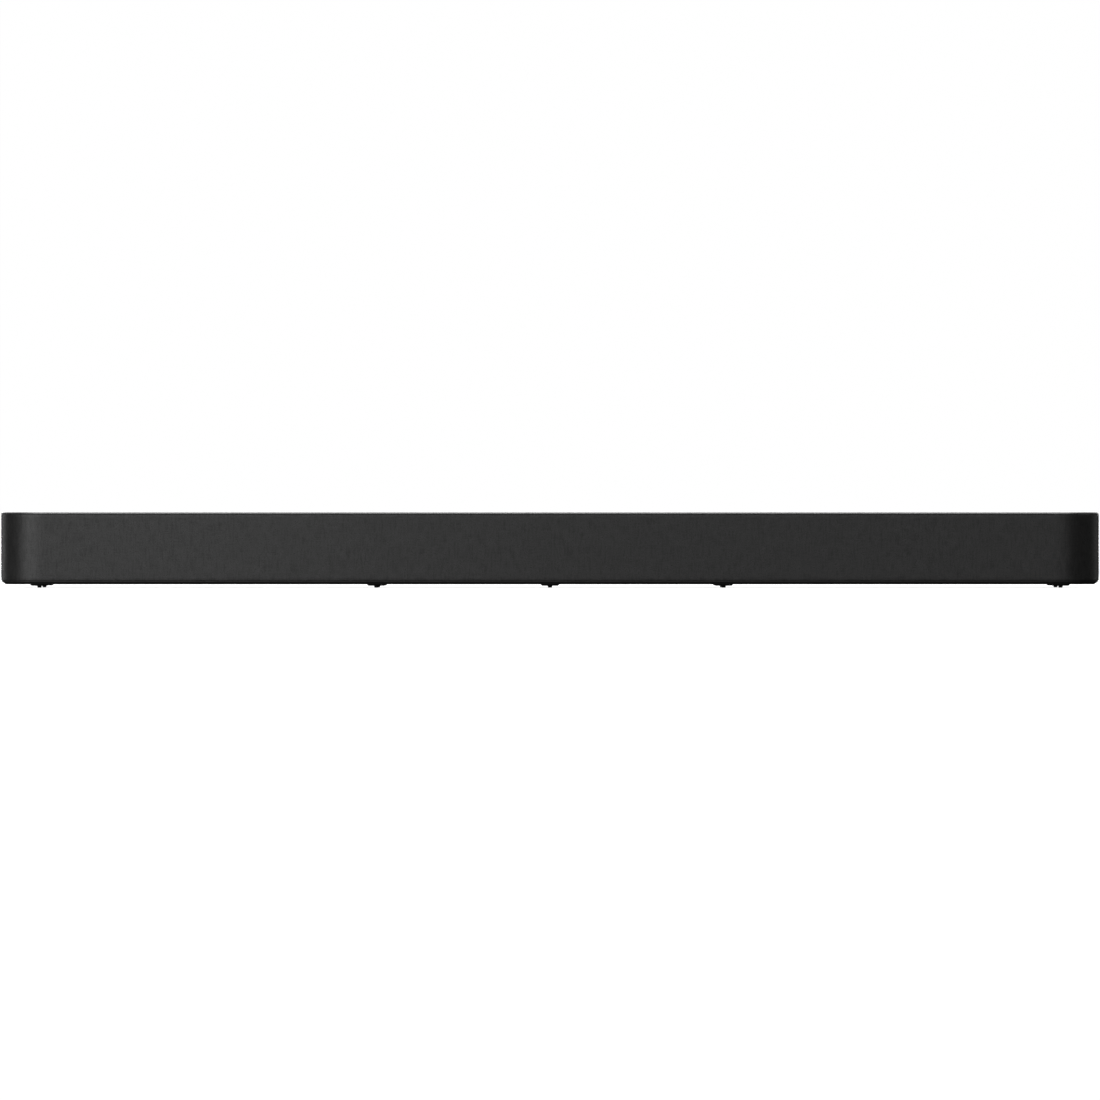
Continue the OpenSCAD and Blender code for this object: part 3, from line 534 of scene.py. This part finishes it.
LEAF = 0.0001           # thickness of a contact
LEAF_ROOT = 0.001       # from the tongue's root to the contact
LEAF_TIP = 0.0004       # from the contact to the tongue's tip


def contacts(name, found, count, pitch, width, both_sides):
    """Gilt leaves along each tongue, proud of its faces by their own thickness."""
    spans = []
    for low, high in found:
        middle = (low.x + high.x) / 2
        for i in range(count):
            x = middle + (i - (count - 1) / 2) * pitch
            y0, y1 = low.y + LEAF_ROOT, high.y - LEAF_TIP
            spans.append(((x - width / 2, y0, low.z - LEAF), (x + width / 2, y1, low.z + LEAF)))
            if both_sides:
                spans.append(((x - width / 2, y0, high.z - LEAF), (x + width / 2, y1, high.z + LEAF)))
    boxes(name, spans, GOLD, "case")


contacts("hdmi_contacts", tongues["hdmi_sockets"], 10, 0.001, 0.00045, True)
contacts("usb_contacts", tongues["usb_socket"], 4, 0.0022, 0.001, False)

# ---------------------------------------------------------------- cloth

RADIUS = 0.040          # of the corners in plan
THICK = 0.0008          # of the cloth
half_w = (cad_high.x - cad_low.x) / 2
half_d = (cad_high.y - cad_low.y) / 2
cloth_low, cloth_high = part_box("grille_fabric")
seam_y = cloth_high.y


def outline_path():
    """Points round the cloth from the left seam to the right one: position, outward normal, distance."""
    points = []
    straight = half_d - RADIUS
    side = [seam_y, seam_y - 0.00015, seam_y - 0.0004, seam_y - 0.0008, 0.016, 0.008, 0, -0.008, -0.016]
    for y in side:
        points.append(((-half_w, y), (-1, 0)))
    turn = 28
    for i in range(turn + 1):
        a = math.pi + i / turn * math.pi / 2
        points.append(((-half_w + RADIUS + RADIUS * math.cos(a), -straight + RADIUS * math.sin(a)),
                       (math.cos(a), math.sin(a))))
    count = 174
    for i in range(1, count):
        points.append(((-half_w + RADIUS + (2 * half_w - 2 * RADIUS) * i / count, -half_d), (0, -1)))
    points += [((-x, y), (-nx, ny)) for (x, y), (nx, ny) in reversed(points[:len(side) + turn + 1])]
    path, run, last = [], 0.0, None
    for place, normal in points:
        if last:
            run += math.dist(place, last)
        last = place
        path.append((place, normal, run))
    return path


def make_cloth():
    """The stretched cloth: a thin closed sheet.

    Its edges roll into the gaps at the lid, the base and the seams.
    """
    low, high = cloth_low.z, cloth_high.z
    roll = [(0.75, 0.0), (0.32, 0.0), (0.14, 0.05), (0.04, 0.17), (0.0, 0.38)]
    rows = 22
    outer = [(inset * MM, low + up * MM) for inset, up in roll]
    start, stop = low + roll[-1][1] * MM, high - roll[-1][1] * MM
    outer += [(0.0, start + (stop - start) * i / rows) for i in range(1, rows)]
    outer += [(inset * MM, high - up * MM) for inset, up in reversed(roll)]
    inner = [(THICK, high - THICK / 2), (THICK, low + THICK / 2)]
    profile = outer + inner
    verts, uvs = [], []
    path = outline_path()
    tuck = {0: 0.0006, 1: 0.00025, 2: 0.00008}
    total = path[-1][2]
    for i, ((x, y), (nx, ny), run) in enumerate(path):
        extra = tuck.get(min(i, len(path) - 1 - i), 0.0)
        for inset, z in profile:
            d = min(inset + extra, THICK)
            verts.append((x - nx * d, y - ny * d, z))
            uvs.append((run - total / 2, z))
    count = len(profile)
    faces = [(i * count + k, (i + 1) * count + k,
              (i + 1) * count + (k + 1) % count, i * count + (k + 1) % count)
             for i in range(len(path) - 1) for k in range(count)]
    last = (len(path) - 1) * count
    faces.append(tuple(range(count - 1, -1, -1)))
    faces.append(tuple(last + k for k in range(count)))
    cloth = add_object("grille_cloth", verts, faces, CLOTH, "case", uvs=uvs)
    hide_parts("grille_fabric")


make_cloth()

# ---------------------------------------------------------------- symbols on the buttons

DISH = 0.030            # radius of the hollow in a button's top
DISH_DEPTH = 0.00035
INK_HALF = 0.00004      # half the thickness of a printed stroke
button_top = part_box("button_play")[1].z
dish_centre = button_top + DISH - DISH_DEPTH


def button_surface(x, y):
    """Height of a button's top at this distance from its middle."""
    r2 = x * x + y * y
    return min(button_top, dish_centre - math.sqrt(DISH * DISH - r2))


def stroke(points, width):
    """The left and right edges of a ribbon along a polyline."""
    left, right = [], []
    for i, (x, y) in enumerate(points):
        ax, ay = points[max(i - 1, 0)]
        bx, by = points[min(i + 1, len(points) - 1)]
        length = math.hypot(bx - ax, by - ay)
        dx, dy = (bx - ax) / length * width / 2, (by - ay) / length * width / 2
        left.append((x - dy, y + dx))
        right.append((x + dy, y - dx))
    return left, right


def line(a, b, steps=8):
    return [(a[0] + (b[0] - a[0]) * i / steps, a[1] + (b[1] - a[1]) * i / steps) for i in range(steps + 1)]


def arc(r, a0, a1, steps=40):
    return [(r * math.cos(math.radians(a0 + (a1 - a0) * i / steps)),
             r * math.sin(math.radians(a0 + (a1 - a0) * i / steps))) for i in range(steps + 1)]


def make_symbol(button, strokes):
    """Printed strokes that lie on the hollow of a button, a few hundredths of a millimetre proud."""
    low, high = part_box("button_" + button)
    cx, cy = (low.x + high.x) / 2, (low.y + high.y) / 2
    verts, faces = [], []
    for points, width in strokes:
        points = [(x * MM, y * MM) for x, y in points]
        left, right = stroke(points, width * MM)
        base = len(verts)
        for (lx, ly), (rx, ry) in zip(left, right):
            for x, y in ((lx, ly), (rx, ry)):
                z = button_surface(x, y)
                verts.append((cx + x, cy + y, z + INK_HALF))
                verts.append((cx + x, cy + y, z - INK_HALF))
        count = len(points)
        for i in range(count - 1):
            a, b = base + 4 * i, base + 4 * (i + 1)
            faces += [(a, b, b + 2, a + 2), (a + 1, a + 3, b + 3, b + 1),
                      (a, a + 1, b + 1, b), (a + 2, b + 2, b + 3, a + 3)]
        faces += [(base, base + 2, base + 3, base + 1)]
        end = base + 4 * (count - 1)
        faces += [(end, end + 1, end + 3, end + 2)]
    symbol = add_object("symbol_" + button, verts, faces, INK, "button_" + button, smooth=False)


make_symbol("power", [(arc(2.3, 125, 415), 0.42), (line((0, 0.5), (0, 2.9)), 0.42)])
make_symbol("source", [
    (line((-0.3, 2.2), (2.5, 2.2)), 0.4),
    (line((2.5, 2.4), (2.5, -2.4)), 0.4),
    (line((2.5, -2.2), (-0.3, -2.2)), 0.4),
    (line((-2.8, 0), (1.1, 0)), 0.4),
    (line((1.15, 0.05), (-0.35, 1.4)), 0.4),
    (line((1.15, -0.05), (-0.35, -1.4)), 0.4),
])
make_symbol("play", [
    (line((-2.6, 2.0), (-2.6, -2.0)), 0.4),
    (line((-2.7, 1.95), (0.3, 0.0)), 0.4),
    (line((-2.7, -1.95), (0.3, 0.0)), 0.4),
    (line((1.5, 2.0), (1.5, -2.0)), 0.5),
    (line((2.9, 2.0), (2.9, -2.0)), 0.5),
])
make_symbol("volume_down", [(line((-2.4, 0), (2.4, 0)), 0.45)])
make_symbol("volume_up", [(line((-2.4, 0), (2.4, 0)), 0.45), (line((0, -2.4), (0, 2.4)), 0.45)])

# ---------------------------------------------------------------- surrounds and spiders

FLANGE = 2              # thickness of a basket's flange, in millimetres


def driver_place(name):
    """The driver's own frame: its origin at the back of the flange, +Z out of its mouth."""
    low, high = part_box(name + "_basket")
    cx = (low.x + high.x) / 2
    if "woofer" in name:
        flange = high.z - FLANGE * MM
        motor_low, motor_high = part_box(name + "_motor")
        cy = (motor_low.y + motor_high.y) / 2
        return lambda x, y, z: (cx + x, cy + y, flange + z)
    flange = low.y + FLANGE * MM
    motor_low, motor_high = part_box(name + "_motor")
    cz = (motor_low.z + motor_high.z) / 2
    return lambda x, y, z: (cx + x, flange - z, cz + y)


def make_surround(name, mouth, roll, skin, land):
    """A half roll with a skirt down to the cone's rim, in the driver's own frame, in millimetres."""
    centre = mouth + 0.8 - roll
    steps = 20

    def half_circle(r):
        return [(centre + r * math.cos(math.pi * i / steps), FLANGE + r * math.sin(math.pi * i / steps))
                for i in range(steps + 1)]

    outer, inner = half_circle(roll), half_circle(roll - skin)
    edge = centre + roll - skin
    foot = centre - roll
    profile = [(edge + land, FLANGE), (edge + land, FLANGE + skin * 0.8),
               (edge + land - 0.1, FLANGE + skin), (edge + skin, FLANGE + skin)]
    profile += [p for p in outer if p[1] > FLANGE + skin][:-1]
    profile += [(foot, FLANGE + roll * 0.05), (foot, 1.5), (foot, 1 + skin * 0.2), (foot - 0.3, 0.5 + skin)]
    profile += [(foot - 1, 0.5 + skin), (foot - 1, 0.5), (foot + skin, 0.5), (foot + skin, 1.2),
                (foot + skin, FLANGE)]
    profile += list(reversed(inner))[1:]
    place = driver_place(name)
    verts, faces = revolve([(r * MM, z * MM) for r, z in profile], place)
    o = add_object(name + "_roll", verts, faces, SURROUND, None)
    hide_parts(name + "_surround")
    start, end = place(0, 0, 2 * MM), place(0, 0, (0.5 + skin) * MM)
    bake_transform(o)


for name in DRIVERS:
    if "woofer" in name:
        make_surround(name, 38, 3.6, 0.8, 3)
    else:
        make_surround(name, 20.8, 1.6, 0.5, 1.3)


def make_spider(name):
    """A pleated disc from the basket's ledge to the coil, in millimetres in the driver's own frame.

    The pleats have upright walls.
    """
    coil, ledge = 14.3, 27.6
    crest, trough, skin = -19.4, -20.7, 0.5
    first, period, width, pleats = 16.6, 2.8, 1.6, 3
    above, below = [(coil, trough + skin)], [(coil, trough)]
    for i in range(pleats + 1):
        r = first + i * period
        above += line((r, trough + skin), (r, crest + skin), 3)
        below += line((r + skin, trough), (r + skin, crest), 3)
        if i < pleats:
            above += line((r + width, crest + skin), (r + width, trough + skin), 3)
            below += line((r + width - skin, crest), (r + width - skin, trough), 3)
    above.append((ledge, crest + skin))
    below.append((ledge, crest))
    place = driver_place(name)
    profile = above + list(reversed(below))
    verts, faces = revolve([(r * MM, z * MM) for r, z in profile], place)
    o = add_object(name + "_pleats", verts, faces, SPIDER, None, smooth=False)
    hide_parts(name + "_spider")
    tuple(place(0, 0, crest * MM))
    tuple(place(0, 0, (trough + skin) * MM))
    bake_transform(o)


make_spider("left_woofer")
make_spider("right_woofer")

# ---------------------------------------------------------------- coils and magnets

COIL_EDGE = 0.0004      # a coil starts this far from the back of its cone
WOOFER_COIL = 0.0115    # and ends this far from it
DRIVER_COIL = 0.0085
MAGNET_WALL = 0.0006    # a face this near a motor's widest place is the magnet's wall
MAGNET_STEP = 0.0029    # and a flat face this near it is one of the magnet's ends


def is_magnet(off_axis, along, radius):
    """Whether a motor's face is ferrite, from its distance off the axis and its normal along it."""
    return off_axis > radius - MAGNET_WALL or (abs(along) > 0.9 and off_axis > radius - MAGNET_STEP)


for name in DRIVERS:
    cone_low, cone_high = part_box(name + "_cone")
    motor_low, motor_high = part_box(name + "_motor")
    radius = (motor_high.x - motor_low.x) / 2
    cx = (motor_high.x + motor_low.x) / 2
    if "woofer" in name:
        repaint(name + "_cone", COPPER,
                lambda c, n: cone_low.z + COIL_EDGE < c.z < cone_low.z + WOOFER_COIL)
        repaint(name + "_motor", FERRITE,
                lambda c, n: is_magnet(math.hypot(c.x - cx, c.y), n.z, radius))
    else:
        cz = (motor_high.z + motor_low.z) / 2
        repaint(name + "_cone", COPPER,
                lambda c, n: cone_high.y - DRIVER_COIL < c.y < cone_high.y - COIL_EDGE)
        repaint(name + "_motor", FERRITE,
                lambda c, n: is_magnet(math.hypot(c.x - cx, c.z - cz), n.y, radius))

# ---------------------------------------------------------------- studio

CENTRE = (0, 0, (cad_low.z + cad_high.z) / 2)
FLOOR_REACH = 18        # from the bar to the floor's edges
# Radius and height along the dome's outline, up its inside and back down its outside
DOME = [(22, -6), (22, 4), (18, 14), (10, 20), (0.01, 22), (0.01, 23), (24, 23), (24, -6)]


def around(azimuth, distance, height):
    """A place round the bar: azimuth 0 is in front of it and 90 is off its left end."""
    a = math.radians(azimuth)
    return (-distance * math.sin(a), -distance * math.cos(a), height)


def make_floor():
    """White far off, with a slight slow mottle; close to the bar its glow is painted down, a painted shade
    round the bar under the contact shadow its lamps cast.
    """
    n = Nodes("studio_floor")
    slow = n.noise(0.8, detail=2.0)
    colour = n.mix(n.spread(slow, 0.3, 0.7), grey(0.16), grey(0.17))
    where = n.coords()
    split = n.add("SeparateXYZ")
    n.link(where, split.inputs[0])
    beyond_x = n.math("MAXIMUM", n.math("SUBTRACT", n.math("ABSOLUTE", split.outputs[0]), half_w), 0.0)
    beyond_y = n.math("MAXIMUM", n.math("SUBTRACT", n.math("ABSOLUTE", split.outputs[1]), half_d), 0.0)
    squares = n.math("ADD", n.math("MULTIPLY", beyond_x, beyond_x),
                     n.math("MULTIPLY", beyond_y, beyond_y))
    # The glow falls from 1.0 far off to 0.72 at the bar's outline: a painted shade round the bar
    glow = n.spread(n.math("SQRT", squares), 0.0, 0.3, 0.72, 1.0)
    n.set(Emission_Color=(1, 1, 1, 1))
    n.link(glow, n.shader.inputs["Emission Strength"])
    material = n.finish(colour, 0.9)
    corners = [(x * FLOOR_REACH, y * FLOOR_REACH, 0) for x, y in ((-1, -1), (1, -1), (1, 1), (-1, 1))]
    floor = add_object("floor", corners, [(0, 1, 2, 3)], material, None, smooth=False)
    for_camera_only(floor)


def make_backdrop():
    """A white dome round the studio that the camera sees and that adds no light."""
    n = Nodes("backdrop")
    haze = n.noise(6.0, detail=1.0)
    n.set(Emission_Strength=1.0)
    n.link(n.mix(haze, grey(0.998), grey(1.0)), n.shader.inputs["Emission Color"])
    n.finish((0, 0, 0), 1.0)
    verts, faces = revolve(DOME, lambda x, y, z: (x, y, z), steps=48)
    for_camera_only(add_object("backdrop", verts, faces, n.material, None))


def for_camera_only(o):
    """Seen by the camera, but with no part in the light, the reflections or the shadows."""
    o.visible_diffuse = False
    o.visible_glossy = False
    o.visible_transmission = False
    o.visible_shadow = False
    o.data.materials[0].cycles.emission_sampling = "NONE"
    o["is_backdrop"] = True


def area_light(name, place, size, power):
    """A softbox that faces the middle of the bar."""
    data = bpy.data.lights.new(name, "AREA")
    data.shape = "RECTANGLE"
    data.size, data.size_y = size
    data.energy = power
    o = bpy.data.objects.new(name, data)
    scene.collection.objects.link(o)
    o.location = place
    o.rotation_euler = (Vector(CENTRE) - Vector(place)).to_track_quat("-Z", "Y").to_euler()


make_floor()
make_backdrop()
world = bpy.data.worlds.new("studio")
world.use_nodes = True
background = world.node_tree.nodes["Background"]
background.inputs["Color"].default_value = (1, 1, 1, 1)
background.inputs["Strength"].default_value = 0.01
scene.world = world

NEAR, FAR = 1.2, 3.0
STRIP = (0.6, 1.6)
SMALL = (0.4, 0.8)
# name, place, width and height, watts
LIGHTS = [
    ("key", around(48, FAR, 0.5), (1.9, 1.6), 18),
    ("near_key", around(40, NEAR, 0.25), SMALL, 0.6),
    ("near_left", around(20, NEAR, 0.25), SMALL, 1.15),
    ("front", around(0, FAR, 0.5), STRIP, 3.0),
    ("near_right", around(-20, NEAR, 0.25), SMALL, 0.35),
    ("fill_right", around(-30, FAR, 0.5), STRIP, 3.2),
    ("rim_left", around(135, FAR, 0.5), STRIP, 2.6),
    ("rim_right", around(-130, FAR, 0.5), STRIP, 1.0),
    ("high_right", around(-105, FAR, 2.0), (1.2, 1.2), 13),
    ("top", (0, 0, 1.8), (2.2, 0.9), 37),
    ("back", around(180, 2.2, 2.3), (2.4, 1.0), 105),
    ("low_back_left", around(165, FAR, 0.5), STRIP, 22),
    ("low_back_right", around(-165, FAR, 0.5), STRIP, 22),
]
for name, place, size, power in LIGHTS:
    area_light(name, place, size, power)

scene.view_settings.view_transform = "Standard"
scene.view_settings.look = "None"

low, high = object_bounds()
